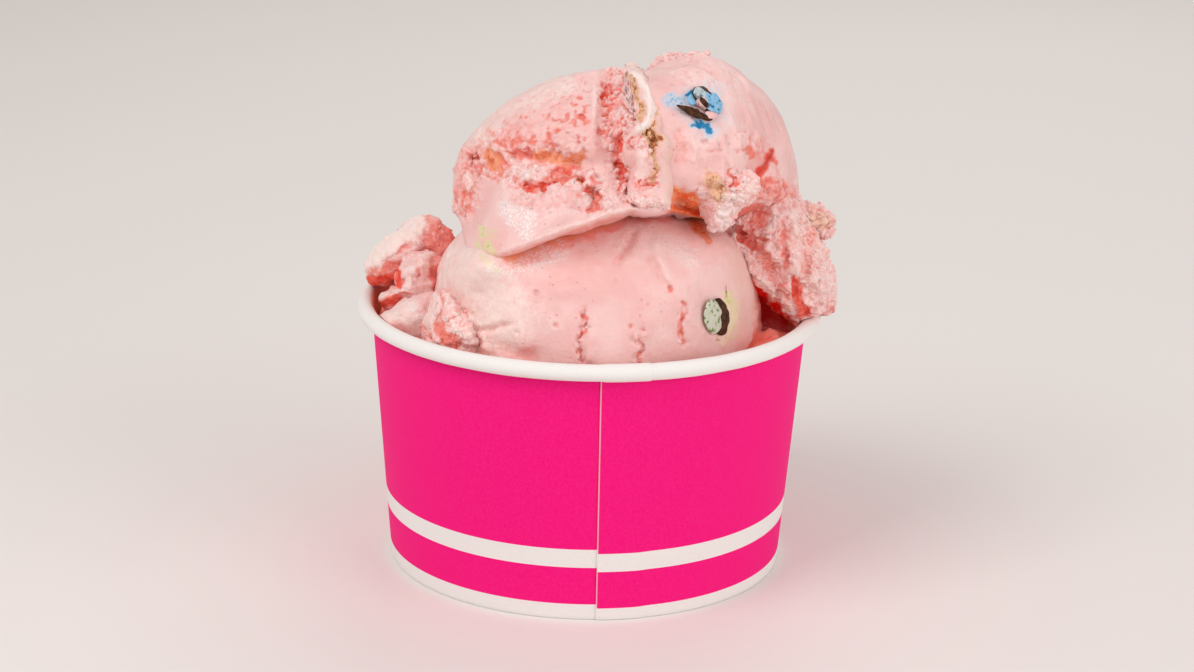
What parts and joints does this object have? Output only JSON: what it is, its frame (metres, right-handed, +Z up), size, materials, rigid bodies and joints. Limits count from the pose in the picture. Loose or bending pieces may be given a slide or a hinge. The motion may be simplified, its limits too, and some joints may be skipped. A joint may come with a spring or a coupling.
{
  "type": "ice cream tub",
  "caption": "Paper tub heaped with two scoops of pink ice cream, with torn lumps at the rim and broken candy drops in the scoops.",
  "frame": {"origin": "centre of the bounding box's bottom, in the plane that the tub's foot stands on; the tub's axis is 1.2 mm to -X of it", "axes": "+Z up along the tub's axis, -Y towards the side that the picture shows, +X to its right"},
  "size_m": [0.0895, 0.087, 0.0979],
  "materials": {
    "printed_paper": "satin printed paper",
    "white_paper": "plain white paper",
    "ice_cream": "moist pink ice cream",
    "blue_shell": "worn sugar shell",
    "green_shell": "worn sugar shell"
  },
  "bodies": {
    "root": {"cup_sleeve": "printed_paper", "cup_base": "white_paper", "cup_fill": "ice_cream", "lower_scoop": "ice_cream", "upper_scoop": "ice_cream", "right_slab": "ice_cream", "left_chunk": "ice_cream", "left_knobs": "ice_cream", "left_slab": "ice_cream", "cracked_piece": "ice_cream", "blue_drop": "blue_shell", "green_drop": "green_shell"}
  },
  "joints": []
}
